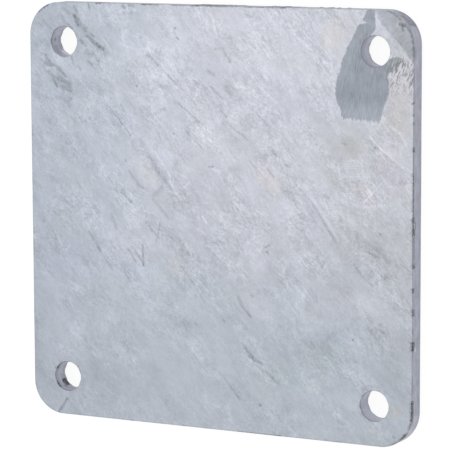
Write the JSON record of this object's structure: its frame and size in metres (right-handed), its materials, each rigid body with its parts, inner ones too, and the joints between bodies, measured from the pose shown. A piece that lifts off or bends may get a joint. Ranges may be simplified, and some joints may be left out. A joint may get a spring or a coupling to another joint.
{
  "type": "cover plate",
  "caption": "Flat square steel cover plate with rounded corners and a bolt hole in each corner, for closing a bolted flange or frame.",
  "frame": {"origin": "centre of the plate's underside, the face that seats on the flange", "axes": "+Z out of the outer face, away from the seat; +X and +Y along the plate's two pairs of sides"},
  "size_m": [0.25, 0.25, 0.012],
  "materials": {
    "galvanised_steel": "hot-dip galvanised, matt to satin, with streaks, scratches and a dull patch round one hole"
  },
  "bodies": {
    "root": {"cover_plate": "galvanised_steel"}
  },
  "joints": []
}
